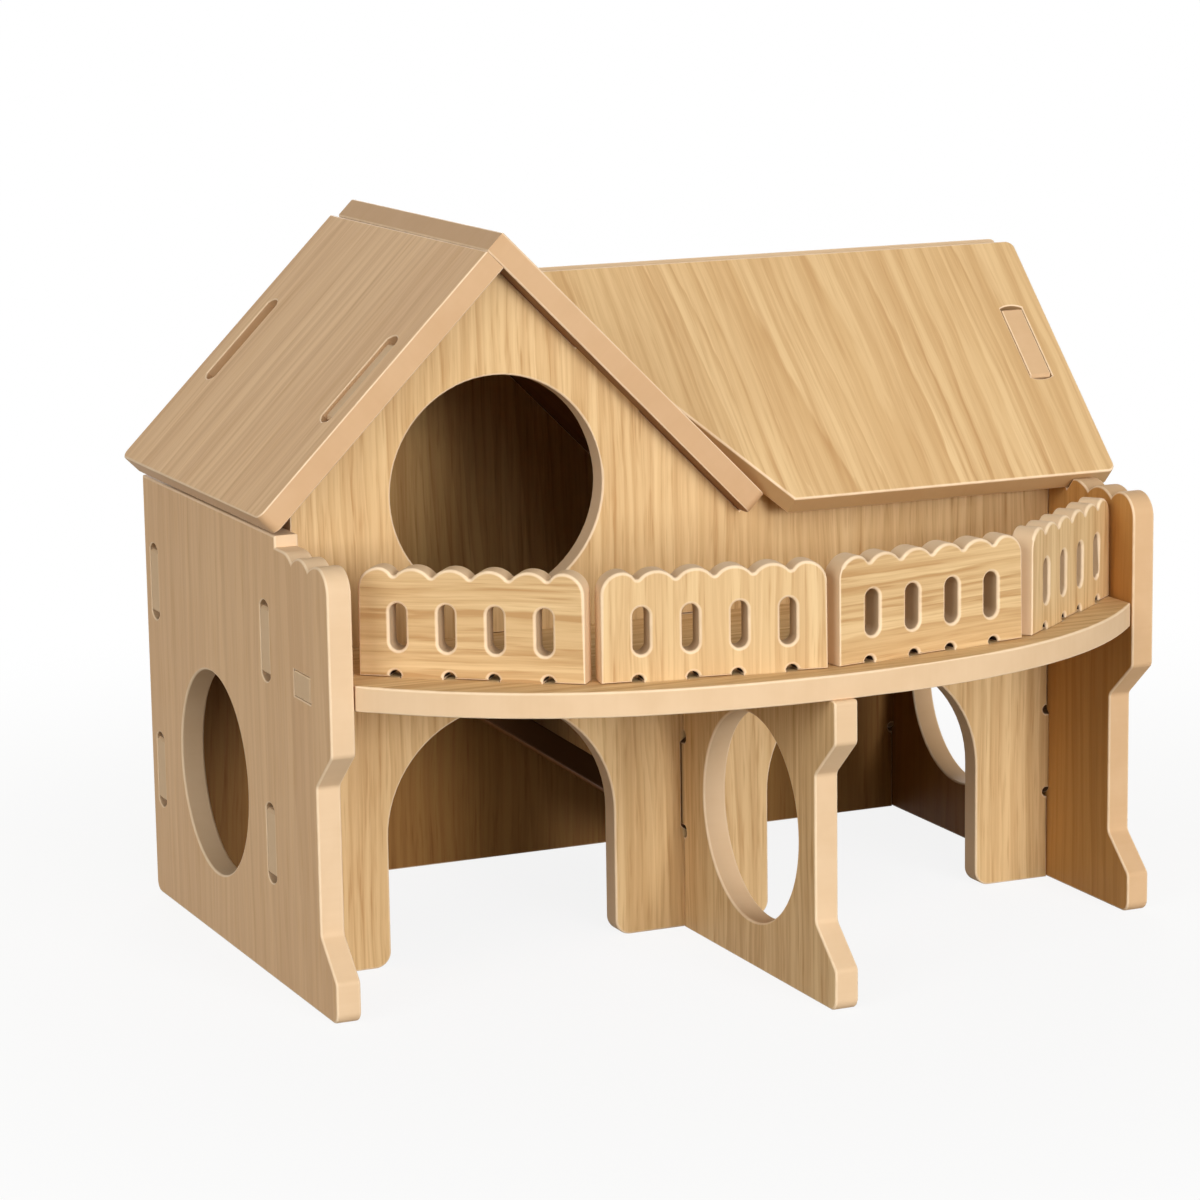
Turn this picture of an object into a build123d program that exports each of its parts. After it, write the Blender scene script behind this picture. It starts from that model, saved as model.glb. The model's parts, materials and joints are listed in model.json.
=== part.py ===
from build123d import *
import math
import os

os.makedirs("parts", exist_ok=True)

# A small two-storey wooden house for hamsters, cut from flat board and put together
# with tabs and slots.  Millimetres.  The boards are drawn with X from the left panel's
# outer face to the right, Y from the front wall's front face to the back, and Z up from
# the floor.  save() then moves each board so that the origin is under the house's middle.

# --- the board and its joints ---
board = 4.6
fit = 0.12
slot_bulge = 1.2
relief_radius = 1.2
tab_tip_chamfer = 0.5
root_two = math.sqrt(2)

# --- the body ---
house_width = 166.0
house_depth = 69.2
panel_back_overhang = 3.2
panel_front_reach = 31.0
panel_front_corner = 4.6
foot_reach = 30.3
foot_top = 7.6
waist_depth = 8.1
waist_bottom = 14.5
waist_top = 41.5
waist_shoulder = 48.4
foot_rounding = 2.2
bend_rounding = 1.5

# --- wall tabs, measured up the side panels ---
left_wall_tab_length = 12.4
right_wall_tab_length = 14.8
wall_tab_heights = (25.7, 63.3)
wall_relief_radius = 0.93

# --- the round holes and the arches ---
gable_hole_diameter = 42.0
gable_hole_sill = 5.8
side_hole_diameter = 39.0
left_hole_depth_position = 34.0
left_hole_height = 32.1
right_hole_depth_position = 36.6
right_hole_height = 31.0
arch_width = 45.5
arch_height = 47.0
left_arch_inset = 44.7
right_arch_inset = 43.6
leg_rounding = 3.0
arch_overrun = 2.0

# --- the balcony ---
balcony_underside = 56.2
balcony_reach = 61.6
balcony_middle_width = 62.0
balcony_middle_radius = 150.0
balcony_side_tab_width = 8.4
balcony_side_tab_position = 17.0
balcony_rear_tab_width = 16.0
balcony_side_gap = 0.3
balcony_corner_setback = 0.4

# --- the divider under the balcony ---
divider_offset = 1.0
divider_foot_overhang = 1.0
divider_hole_depth_position = 28.6
divider_hole_height = 28.0
divider_tab_length = 16.0
divider_tab_height = 28.0
divider_slot_gap = 0.35
divider_waist_setback = 0.4
divider_top_rounding = 0.8

# --- the railings ---
rail_valley_height = 17.6
rail_crest_height = 19.5
rail_scallop_inset = 6.5
rail_scallop_count = 4
rail_valley_rounding = 0.55
rail_corner_radius = 3.9
rail_window_width = 3.0
rail_window_height = 8.3
rail_window_center_height = 9.0
rail_window_inset = 7.2
rail_window_count = 4
rail_tab_width = 7.8
rail_tab_spacing = 18.0
rail_relief_radius = 1.05
rail_seat_gap = 0.15
rail_offset = 1.8
rail_middle_start = 1.2
rail_middle_setback = 5.1
rail_middle_angle = 9.2
rail_joint_gap = 2.73
rail_joint_step = 1.04
rail_end_angle = 39.0
rail_end_gap = 0.34

# --- the scalloped shoulders of the side panels ---
left_shoulder_start = 4.4
shoulder_pitch = 8.5
shoulder_scallop_count = 2
shoulder_rise = 20.6
scallop_depth = 1.6
left_panel_gap = 0.1

# --- the gable roof over the left half ---
gable_center = 45.0
gable_apex_rise = 41.0
gable_left_length = 63.4
gable_right_length = 73.9
gable_front_overhang = 5.1
gable_left_back_overhang = 6.4
gable_right_back_overhang = 2.4
gable_tab_length = 17.9
gable_tab_distance = 31.6
front_gable_tab_recess = 0.7
back_gable_tab_recess = 2.4

# --- the main roof over the right half ---
ridge_drop = 8.5
main_roof_length = 57.8
main_roof_right_overhang = 4.8
main_tab_length = 17.0
main_tab_distance = 25.5
main_slot_bulge = 0.6
roof_corner_radius = 1.8
eave_clearance = 0.3

# --- the floor and ramp inside ---
hatch_left = 28.5
hatch_right_inset = 76.0
hatch_front = 35.0
hatch_rounding = 2.0
floor_front_tab_offset = 0.5
floor_left_tab_inset = 15.0
floor_right_tab_insets = (54.0, 21.0)
floor_tab_width = 14.0
ramp_front_gap = 2.0
ramp_back_gap = 1.6
ramp_top_step = 0.65
ramp_slope = 0.673

# --- places worked out from the sizes above ---
inside_left = board
inside_right = house_width - board
back_wall_front = house_depth - board
panel_back = house_depth + panel_back_overhang
balcony_top = balcony_underside + board
arch_centers = (left_arch_inset, house_width - right_arch_inset)
divider_left_face = (house_width - board) / 2 + divider_offset
divider_foot_reach = balcony_reach + divider_foot_overhang
diagonal = board * root_two
half_diagonal = board / root_two
gable_hole_height = balcony_top + gable_hole_sill + gable_hole_diameter / 2
gable_apex_height = gable_hole_height + gable_apex_rise
gable_left_back = house_depth + gable_left_back_overhang
gable_right_back = house_depth + gable_right_back_overhang
ridge_depth = house_depth / 2
ridge_height = gable_apex_height - ridge_drop
main_plane = ridge_height - ridge_depth
wall_top = main_plane - fit
gable_right_sum = gable_center + gable_apex_height
gable_left_difference = gable_apex_height - gable_center
left_panel_top = gable_left_difference - left_panel_gap
shoulder_crest = balcony_top + shoulder_rise
shoulder_valley = shoulder_crest - scallop_depth
right_shoulder_start = main_plane - shoulder_valley + fit
roof_right_end = house_width + main_roof_right_overhang
roof_left_end = gable_center - (gable_left_length + board) / root_two
roof_back_end = ridge_depth + (main_roof_length + board) / root_two
middle_across = (roof_left_end + roof_right_end) / 2
middle_deep = (roof_back_end - divider_foot_reach) / 2
rail_center = house_width / 2 + rail_offset
rail_spread = math.cos(math.radians(rail_middle_angle)) + math.cos(math.radians(rail_end_angle))
rail_gaps = rail_middle_start + rail_joint_gap + rail_end_gap
rail_length = (inside_right - rail_center - rail_gaps) / rail_spread
floor_front_tabs = (house_width / 2 + floor_front_tab_offset,)
floor_back_tabs = (floor_left_tab_inset, *(house_width - inset for inset in floor_right_tab_insets))
hatch_right = house_width - hatch_right_inset


def polygon(points):
    return make_face(Polyline(*points, close=True))


def soften(shape, places, radius):
    """Round the corners of a flat outline that lie nearest the given places."""
    chosen = []
    for place in places:
        corners = shape.vertices()
        nearest = min(corners, key=lambda v: math.hypot(v.X - place[0], v.Y - place[1]))
        chosen.append(nearest)
    return fillet(chosen, radius)


def slot_outline(length, width, bulge):
    """A routed slot: straight sides, with each end bulging beyond the tab it holds."""
    half = length / 2
    side = width / 2
    tip = half + bulge
    edges = [
        Line((-half, -side), (half, -side)),
        ThreePointArc((half, -side), (tip, 0), (half, side)),
        Line((half, side), (-half, side)),
        ThreePointArc((-half, side), (-tip, 0), (-half, -side)),
    ]
    return make_face(edges)


def tab_slot(length, bulge):
    return slot_outline(length + 2 * fit, board + 2 * fit, bulge)


def tab_outline(width, reach):
    """A tab that grows upwards from a base line, its tip corners cut off for an easy start."""
    half = width / 2
    tip = half - tab_tip_chamfer
    neck = reach - tab_tip_chamfer
    corners = [(-half, -board), (half, -board), (half, neck), (tip, reach), (-tip, reach), (-half, neck)]
    return polygon(corners)


def relief_pair(width, radius):
    """The two half-round reliefs cut into the shoulders beside a tab."""
    offset = width / 2 + radius
    left = Pos(-offset, 0) * Circle(radius)
    right = Pos(offset, 0) * Circle(radius)
    return left + right


def add_tab(outline, width, reach, place, turn, relief=0):
    """Join a tab to an outline.  With a relief radius, its shoulders are cut back beside it."""
    seat = Pos(place[0], place[1]) * Rot(0, 0, turn)
    if relief:
        outline = outline - seat * relief_pair(width, relief)
    return outline + seat * tab_outline(width, reach)


def side_board(outline, left_face):
    """Stand an outline drawn in (Y, Z) upright so that it fills left_face to the right."""
    plane = Plane(origin=(left_face, 0, 0), x_dir=(0, 1, 0), z_dir=(1, 0, 0))
    return extrude(plane * outline, board)


def front_board(outline, front_face):
    """Stand an outline drawn in (X, Z) upright so that it fills front_face to the back."""
    plane = Plane(origin=(0, front_face, 0), x_dir=(1, 0, 0), z_dir=(0, -1, 0))
    return extrude(plane * outline, -board)


def flat_board(outline, underside):
    return extrude(Pos(0, 0, underside) * outline, board)


def save(shape, name):
    """Write one board, moved so that the origin is under the middle of the whole house."""
    solids = (Pos(-middle_across, -middle_deep, 0) * shape).solids()
    if len(solids) != 1:
        raise ValueError(name + " is not one solid")
    solid = solids[0]
    solid.label = name
    export_step(solid, "parts/" + name + ".step")


# --- side panels ---
def panel_profile():
    """The stepped front edge shared by both side panels, from the floor upwards."""
    waist = panel_front_reach - waist_depth
    return [
        (-foot_reach, 0),
        (-foot_reach, foot_top),
        (-waist, waist_bottom),
        (-waist, waist_top),
        (-panel_front_reach, waist_shoulder),
    ]


def shoulder_edges(shoulder_start, level_end):
    """The scalloped top of the shoulder, from the front corner back to the wall.

    With a level end, the last scallop runs on level from its crest."""
    corner_top = shoulder_crest - panel_front_corner
    crest = -panel_front_reach + panel_front_corner
    first_valley = -shoulder_start - shoulder_scallop_count * shoulder_pitch
    edges = [
        Line((-panel_front_reach, waist_shoulder), (-panel_front_reach, corner_top)),
        RadiusArc((-panel_front_reach, corner_top), (crest, shoulder_crest), panel_front_corner),
        TangentArc((crest, shoulder_crest), (first_valley, shoulder_valley), tangent=(1, 0)),
    ]
    for index in range(shoulder_scallop_count):
        start = first_valley + index * shoulder_pitch
        end = start + shoulder_pitch
        middle = (start + end) / 2
        if level_end and index == shoulder_scallop_count - 1:
            edges.append(TangentArc((middle, shoulder_crest), (start, shoulder_valley), tangent=(-1, 0)))
            edges.append(Line((middle, shoulder_crest), (end, shoulder_crest)))
        else:
            arc = ThreePointArc((start, shoulder_valley), (middle, shoulder_crest), (end, shoulder_valley))
            edges.append(arc)
    return edges


def soften_panel(outline):
    """Round the two feet and the bends of the stepped front edge."""
    waist = panel_front_reach - waist_depth
    outline = soften(outline, [(-foot_reach, 0), (panel_back, 0)], foot_rounding)
    bends = [
        (-foot_reach, foot_top),
        (-waist, waist_bottom),
        (-waist, waist_top),
        (-panel_front_reach, waist_shoulder),
    ]
    return soften(outline, bends, bend_rounding)


def panel_openings(hole_depth, hole_height, tab_length):
    """The round hole, four slots for the walls and one for the balcony."""
    openings = Pos(hole_depth, hole_height) * Circle(side_hole_diameter / 2)
    for wall_face in (0, back_wall_front):
        for height in wall_tab_heights:
            openings += Pos(wall_face + board / 2, height) * Rot(0, 0, 90) * tab_slot(tab_length, slot_bulge)
    mortise = Rectangle(balcony_side_tab_width + 2 * fit, board + 2 * fit)
    openings += Pos(-balcony_side_tab_position, balcony_underside + board / 2) * mortise
    return openings


def left_panel_outline():
    profile = panel_profile()
    rear = [
        (-left_shoulder_start, shoulder_crest),
        (-left_shoulder_start, left_panel_top),
        (panel_back, left_panel_top),
        (panel_back, 0),
        (-foot_reach, 0),
    ]
    edges = [Polyline(*profile), *shoulder_edges(left_shoulder_start, True), Polyline(*rear)]
    return soften_panel(make_face(edges))


def right_panel_outline():
    profile = panel_profile()
    rear = [
        (-right_shoulder_start, shoulder_valley),
        (-right_shoulder_start, main_plane - right_shoulder_start),
        (ridge_depth, ridge_height),
        (panel_back, ridge_height - (panel_back - ridge_depth)),
        (panel_back, 0),
        (-foot_reach, 0),
    ]
    edges = [Polyline(*profile), *shoulder_edges(right_shoulder_start, False), Polyline(*rear)]
    outline = soften_panel(make_face(edges))
    for side, turn in ((-1, 45), (1, -45)):
        step = side * main_tab_distance / root_two
        place = (ridge_depth + step, ridge_height - main_tab_distance / root_two)
        outline = add_tab(outline, main_tab_length, board, place, turn)
    # room for the front eave, which rests just behind the first scallop
    eave_half = (main_roof_length + board) / root_two
    eave = (ridge_depth - eave_half, ridge_height - main_roof_length / root_two + half_diagonal)
    notch = board + eave_clearance
    strip = Pos(notch - eave_clearance, notch / 2) * Rectangle(2 * notch, notch)
    middle = (eave[0] + half_diagonal, eave[1] - half_diagonal)
    return outline - Pos(*middle) * Rot(0, 0, 45) * strip


left_openings = panel_openings(left_hole_depth_position, left_hole_height, left_wall_tab_length)
save(side_board(left_panel_outline() - left_openings, 0), "left_side_panel")

right_openings = panel_openings(right_hole_depth_position, right_hole_height, right_wall_tab_length)
save(side_board(right_panel_outline() - right_openings, inside_right), "right_side_panel")


# --- front and back walls ---
def wall_outline(tab_recess):
    """Gable on the left, level top on the right, with a ledge that holds the roof board."""
    left = inside_left + fit
    right = inside_right - fit
    drop = gable_right_length / root_two
    ledge = (gable_center + drop - half_diagonal, gable_apex_height + half_diagonal - drop)
    ledge = (ledge[0] + fit, ledge[1] - fit)
    rise = wall_top - ledge[1]
    points = [
        (left, 0),
        (left, gable_left_difference + left),
        (gable_center, gable_apex_height),
        ledge,
        (ledge[0] + rise, wall_top),
        (right, wall_top),
        (right, 0),
    ]
    outline = polygon(points)
    for height in wall_tab_heights:
        outline = add_tab(outline, left_wall_tab_length, board, (left, height), 90, wall_relief_radius)
        outline = add_tab(outline, right_wall_tab_length, board, (right, height), -90, wall_relief_radius)
    for side, turn in ((-1, 45), (1, -45)):
        step = gable_tab_distance / root_two
        place = (gable_center + side * step, gable_apex_height - step)
        outline = add_tab(outline, gable_tab_length, board - tab_recess, place, turn)
    return outline


def arch(center):
    half = arch_width / 2
    straight = arch_height - half
    round_top = Pos(center, straight) * Circle(half)
    shaft = Pos(center, (straight - arch_overrun) / 2) * Rectangle(arch_width, straight + arch_overrun)
    return round_top + shaft


def leg_corners():
    places = []
    for center in arch_centers:
        places.append((center - arch_width / 2, 0))
        places.append((center + arch_width / 2, 0))
    return places


def level_slot(center, width):
    opening = Rectangle(width + 2 * fit, board + 2 * fit)
    return Pos(center, balcony_underside + board / 2) * opening


front_outline = wall_outline(front_gable_tab_recess)
for center in arch_centers:
    front_outline -= arch(center)
front_outline = soften(front_outline, leg_corners(), leg_rounding)
front_outline -= Pos(gable_center, gable_hole_height) * Circle(gable_hole_diameter / 2)
divider_slot = slot_outline(divider_tab_length + 2 * fit, board + 2 * divider_slot_gap, slot_bulge)
divider_place = Pos(divider_left_face + board / 2, divider_tab_height)
front_outline -= divider_place * Rot(0, 0, 90) * divider_slot
for center in arch_centers:
    front_outline -= level_slot(center, balcony_rear_tab_width)
for center in floor_front_tabs:
    front_outline -= level_slot(center, floor_tab_width)
save(front_board(front_outline, 0), "front_wall")

back_outline = wall_outline(back_gable_tab_recess)
for center in floor_back_tabs:
    back_outline -= level_slot(center, floor_tab_width)
save(front_board(back_outline, back_wall_front), "back_wall")


# --- divider under the balcony ---
def divider_outline():
    waist = divider_foot_reach - waist_depth + divider_waist_setback
    back = -fit
    points = [
        (back, 0),
        (-divider_foot_reach, 0),
        (-divider_foot_reach, foot_top),
        (-waist, waist_bottom),
        (-waist, waist_top),
        (-divider_foot_reach, waist_shoulder),
        (-divider_foot_reach, balcony_underside),
        (back, balcony_underside),
    ]
    outline = polygon(points)
    outline = soften(outline, [points[1]], foot_rounding)
    outline = soften(outline, points[2:6], bend_rounding)
    outline = soften(outline, [points[6]], divider_top_rounding)
    outline = add_tab(outline, divider_tab_length, board, (back, divider_tab_height), -90, relief_radius)
    hole = Circle(side_hole_diameter / 2)
    return outline - Pos(-divider_hole_depth_position, divider_hole_height) * hole


save(side_board(divider_outline(), divider_left_face), "porch_divider")


# --- railings ---
def rail_outline():
    """One railing board, drawn from its lower left corner: scallops, windows and tabs."""
    corner = rail_corner_radius
    crest = rail_crest_height
    valley = rail_valley_height
    middle = rail_length / 2
    base = rail_seat_gap
    pitch = (rail_length - 2 * rail_scallop_inset) / rail_scallop_count
    valleys = [rail_scallop_inset + index * pitch for index in range(rail_scallop_count + 1)]
    edges = [
        Polyline((0, crest - corner), (0, base), (rail_length, base), (rail_length, crest - corner)),
        RadiusArc((0, crest - corner), (corner, crest), corner),
        RadiusArc((rail_length, crest - corner), (rail_length - corner, crest), -corner),
        TangentArc((corner, crest), (valleys[0], valley), tangent=(1, 0)),
        TangentArc((rail_length - corner, crest), (valleys[-1], valley), tangent=(-1, 0)),
    ]
    for index in range(len(valleys) - 1):
        start = valleys[index]
        end = valleys[index + 1]
        edges.append(ThreePointArc((start, valley), ((start + end) / 2, crest), (end, valley)))
    outline = make_face(edges)
    outline = soften(outline, [(across, valley) for across in valleys], rail_valley_rounding)
    window = SlotOverall(rail_window_height, rail_window_width, rotation=90)
    window_pitch = (rail_length - 2 * rail_window_inset) / (rail_window_count - 1)
    for index in range(rail_window_count):
        across = rail_window_inset + index * window_pitch
        outline -= Pos(across, rail_window_center_height) * window
    for side in (-1, 1):
        place = (middle + side * rail_tab_spacing / 2, base)
        outline = add_tab(outline, rail_tab_width, board + base, place, 180, rail_relief_radius)
    return outline


def rail_seats():
    """Name, front lower corner and heading of each railing, from left to right."""
    middle_back = rail_length * math.sin(math.radians(rail_middle_angle))
    middle_run = rail_length * math.cos(math.radians(rail_middle_angle))
    end_back = rail_length * math.sin(math.radians(rail_end_angle))
    end_run = rail_length * math.cos(math.radians(rail_end_angle))
    middle_front = rail_middle_setback - balcony_reach
    end_front = middle_front + middle_back + rail_joint_step
    end_start = rail_middle_start + middle_run + rail_joint_gap
    return [
        ("railing_1", rail_center - end_start - end_run, end_front + end_back, -rail_end_angle),
        ("railing_2", rail_center - rail_middle_start - middle_run, middle_front + middle_back,
         -rail_middle_angle),
        ("railing_3", rail_center + rail_middle_start, middle_front, rail_middle_angle),
        ("railing_4", rail_center + end_start, end_front, rail_end_angle),
    ]


rail_board = side_board(rail_outline(), 0)
upright = Rot(0, 0, -90) * Pos(-board, 0, 0) * rail_board
for name, across, front, heading in rail_seats():
    save(Pos(across, front, balcony_top) * Rot(0, 0, heading) * upright, name)


# --- balcony floor ---
def rail_mortises():
    mortises = None
    for name, across, front, heading in rail_seats():
        for side in (-1, 1):
            along = rail_length / 2 + side * rail_tab_spacing / 2
            seat = Pos(across, front) * Rot(0, 0, heading) * Pos(along, board / 2)
            cut = seat * Rectangle(rail_tab_width + 2 * fit, board + 2 * fit)
            mortises = cut if mortises is None else mortises + cut
    return mortises


def balcony_outline():
    """A bowed front edge made of three arcs, with straight sides between the panels."""
    center = house_width / 2
    half = balcony_middle_width / 2
    sag = balcony_middle_radius - math.sqrt(balcony_middle_radius ** 2 - half ** 2)
    left = inside_left + balcony_side_gap
    right = inside_right - balcony_side_gap
    corner = -panel_front_reach + balcony_corner_setback
    shoulder = -balcony_reach + sag
    slope = half / math.sqrt(balcony_middle_radius ** 2 - half ** 2)
    edges = [
        Polyline((left, corner), (left, -fit), (right, -fit), (right, corner)),
        ThreePointArc((center - half, shoulder), (center, -balcony_reach), (center + half, shoulder)),
        TangentArc((center - half, shoulder), (left, corner), tangent=(-1, slope)),
        TangentArc((center + half, shoulder), (right, corner), tangent=(1, slope)),
    ]
    outline = make_face(edges)
    tab_reach = board + balcony_side_gap
    side_position = -balcony_side_tab_position
    outline = add_tab(outline, balcony_side_tab_width, tab_reach, (left, side_position), 90)
    outline = add_tab(outline, balcony_side_tab_width, tab_reach, (right, side_position), -90)
    for place in arch_centers:
        outline = add_tab(outline, balcony_rear_tab_width, board, (place, -fit), 0)
    return outline - rail_mortises()


save(flat_board(balcony_outline(), balcony_underside), "balcony_floor")


# --- upper floor and ramp inside the house ---
def floor_outline():
    front = board + fit
    back = back_wall_front - fit
    left = inside_left + fit
    right = inside_right - fit
    points = [
        (left, front),
        (right, front),
        (right, back),
        (hatch_right, back),
        (hatch_right, hatch_front),
        (hatch_left, hatch_front),
        (hatch_left, back),
        (left, back),
    ]
    outline = soften(polygon(points), [(hatch_right, hatch_front), (hatch_left, hatch_front)], hatch_rounding)
    for place in floor_front_tabs:
        outline = add_tab(outline, floor_tab_width, board, (place, front), 180)
    for place in floor_back_tabs:
        outline = add_tab(outline, floor_tab_width, board, (place, back), 0)
    return outline


save(flat_board(floor_outline(), balcony_underside), "upper_floor")

# the ramp leans from the floor up to the hatch's left edge
ramp_front = hatch_front + ramp_front_gap
ramp_width = back_wall_front - ramp_back_gap - ramp_front
ramp_left = hatch_left + fit
ramp_top = balcony_top - ramp_top_step
ramp_foot = ramp_left + ramp_top / ramp_slope
ramp_thick = board * math.sqrt(1 + ramp_slope ** 2)
ramp_points = [
    (ramp_foot, 0),
    (ramp_left, ramp_top),
    (ramp_left, ramp_top - ramp_thick),
    (ramp_foot - ramp_thick / ramp_slope, 0),
]
ramp_plane = Plane(origin=(0, ramp_front, 0), x_dir=(1, 0, 0), z_dir=(0, -1, 0))
save(extrude(ramp_plane * polygon(ramp_points), -ramp_width), "ramp")


# --- gable roof boards, drawn on their own slope: x down the slope, y towards the back ---
def gable_board(length, back, toward_left):
    """A roof board whose upper end starts at the apex line under the gable."""
    start = 0 if toward_left else -board
    outline = Pos(start + length / 2, (back - gable_front_overhang) / 2) * Rectangle(
        length, back + gable_front_overhang)
    lower = start + length
    outline = soften(outline, [(lower, -gable_front_overhang), (lower, back)], roof_corner_radius)
    for wall_face in (0, back_wall_front):
        place = Pos(gable_tab_distance, wall_face + board / 2)
        outline -= place * tab_slot(gable_tab_length, slot_bulge)
    apex = (gable_center, 0, gable_apex_height)
    if toward_left:
        plane = Plane(origin=apex, x_dir=(-1, 0, -1), z_dir=(-1, 0, 1))
        outline = outline.mirror(Plane.XZ)
        return extrude(plane * outline, board)
    plane = Plane(origin=apex, x_dir=(1, 0, -1), z_dir=(1, 0, 1))
    return extrude(plane * outline, board)


save(gable_board(gable_left_length, gable_left_back, True), "gable_roof_left")
save(gable_board(gable_right_length, gable_right_back, False), "gable_roof_right")


# --- main roof boards: x to the right, y down the slope from the ridge ---
def main_board_outline():
    """Square at the right, cut on the slant at the left where it lies on the gable roof."""
    valley = gable_right_sum + diagonal - ridge_height + 2 * fit
    length = main_roof_length
    points = [
        (valley, 0),
        (roof_right_end, 0),
        (roof_right_end, length),
        (valley + length / root_two, length),
    ]
    outline = soften(polygon(points), [points[1], points[2]], roof_corner_radius)
    slot = Rot(0, 0, 90) * tab_slot(main_tab_length, main_slot_bulge)
    return outline - Pos(house_width - board / 2, main_tab_distance) * slot


ridge_point = (0, ridge_depth, ridge_height)
front_slope = Plane(origin=ridge_point, x_dir=(1, 0, 0), z_dir=(0, 1, -1))
back_slope = Plane(origin=ridge_point, x_dir=(1, 0, 0), z_dir=(0, 1, 1))
save(extrude(front_slope * main_board_outline(), -board), "main_roof_front")
save(extrude(back_slope * main_board_outline(), board), "main_roof_back")
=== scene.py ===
"""Wooden hamster house: the finished boards, their veneer and the studio they stand in."""

import json
import math

import bmesh
import bpy
import numpy as np
from mathutils import Matrix, Vector

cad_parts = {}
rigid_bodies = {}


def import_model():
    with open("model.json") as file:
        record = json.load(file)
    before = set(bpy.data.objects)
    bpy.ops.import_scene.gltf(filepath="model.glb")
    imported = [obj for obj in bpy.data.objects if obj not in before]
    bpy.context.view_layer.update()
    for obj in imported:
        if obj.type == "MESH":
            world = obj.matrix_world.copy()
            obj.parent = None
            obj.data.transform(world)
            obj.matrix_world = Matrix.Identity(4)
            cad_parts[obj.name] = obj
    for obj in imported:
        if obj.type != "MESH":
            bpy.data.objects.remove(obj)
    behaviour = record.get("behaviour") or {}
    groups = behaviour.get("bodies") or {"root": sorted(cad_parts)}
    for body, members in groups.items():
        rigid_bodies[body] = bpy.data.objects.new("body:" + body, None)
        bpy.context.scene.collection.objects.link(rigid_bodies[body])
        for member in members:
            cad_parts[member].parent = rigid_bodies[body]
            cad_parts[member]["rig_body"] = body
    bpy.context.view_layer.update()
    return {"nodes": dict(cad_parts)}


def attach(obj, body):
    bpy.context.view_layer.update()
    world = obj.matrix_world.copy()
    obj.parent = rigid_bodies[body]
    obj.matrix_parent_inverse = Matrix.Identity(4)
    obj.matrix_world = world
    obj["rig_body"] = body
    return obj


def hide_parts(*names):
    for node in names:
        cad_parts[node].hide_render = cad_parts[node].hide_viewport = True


bl_info = {
    "name": "Wooden Hamster House",
    "version": (1, 0, 0),
    "blender": (4, 5, 0),
    "location": "3D View > Sidebar > Hamster House",
    "description": "Finishes the boards of a slot-together wooden hamster house",
    "category": "Object",
}

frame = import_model()
NODES = frame["nodes"]
BODY_OF = {name: node["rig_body"] for name, node in NODES.items()}

MM = 0.001
UP = (0.0, 0.0, 1.0)
ACROSS = (1.0, 0.0, 0.0)
ASLANT = (0.36, 0.48, 0.8)
WHITE = (1.0, 1.0, 1.0, 1.0)

# What counts as one corner, as flat, as straight and as a soft turn
MERGE_DISTANCE = 2e-6
FLAT = 0.9999
STRAIGHT = 0.999
ALIKE = 0.99
LEAST_BEND = 0.1
SMOOTH_TURN = math.cos(math.radians(35))
SHARPEST_MITER = 0.35

# The arris, and the distances that tell reliefs, joints and windows
ARRIS_STEPS = 4
LARGEST_RELIEF = 1.8 * MM
RELIEF_REACH = 1.6 * MM
JOINT_REACH = 0.3 * MM
WINDOW_REACH = 12 * MM

# Painted shade in the walls of openings: how far it darkens slots, reliefs, windows and holes, from
# 0 to 1
SLOT_SHADE = 0.5
PANEL_SLOT_SHADE = 0.25
GABLE_ROOF_SLOT_SHADE = 0.05
MAIN_ROOF_SLOT_SHADE = 0.2
WINDOW_SHADE = 0.3
HOLE_SHADE = 0.03

# The step from one board's stretch of veneer to the next, across and along it, and its length
VENEER_STEP = (0.37, 0.61)
VENEER_LENGTH = 3.0
BOARD_ORDER = (
    "left_side_panel",
    "right_side_panel",
    "front_wall",
    "back_wall",
    "porch_divider",
    "balcony_floor",
    "upper_floor",
    "ramp",
    "railing_1",
    "railing_2",
    "railing_3",
    "railing_4",
    "gable_roof_left",
    "gable_roof_right",
    "main_roof_front",
    "main_roof_back",
)


# Board surfaces


def merged_triangles(node):
    """A node's corner points with their doubles merged, and three corners for each triangle."""
    bm = bmesh.new()
    bm.from_mesh(node.data)
    bmesh.ops.remove_doubles(bm, verts=bm.verts, dist=MERGE_DISTANCE)
    bmesh.ops.triangulate(bm, faces=bm.faces)
    mesh = bpy.data.meshes.new("merged")
    bm.to_mesh(mesh)
    bm.free()
    points = np.empty(len(mesh.vertices) * 3, np.float32)
    mesh.vertices.foreach_get("co", points)
    corners = np.empty(len(mesh.polygons) * 3, np.int32)
    mesh.polygons.foreach_get("vertices", corners)
    bpy.data.meshes.remove(mesh)
    return points.reshape(-1, 3).astype(float), corners.reshape(-1, 3)


def unit(vectors):
    """Each row divided by its own length."""
    return vectors / np.maximum(np.linalg.norm(vectors, axis=-1, keepdims=True), 1e-12)


def triangle_normals(points, corners):
    """Unit normals and areas: half the cross product of two sides."""
    a, b, c = (points[corners[:, k]] for k in range(3))
    cross = np.cross(b - a, c - a)
    return unit(cross), np.linalg.norm(cross, axis=1) / 2


def board_normal(normals, areas):
    """The way that most of the area faces: the main axis of the sum of area times n times n."""
    spread = (normals[:, :, None] * normals[:, None, :] * areas[:, None, None]).sum(0)
    axis = np.linalg.eigh(spread)[1][:, -1]
    near = np.where(np.abs(normals @ axis) > ALIKE, areas, 0)
    best = normals[np.argmax(near)]
    return best if best[np.argmax(np.abs(best))] > 0 else -best


def edge_keys(start, end, count):
    """One whole number for each directed edge."""
    return start.astype(np.int64) * count + end


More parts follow.
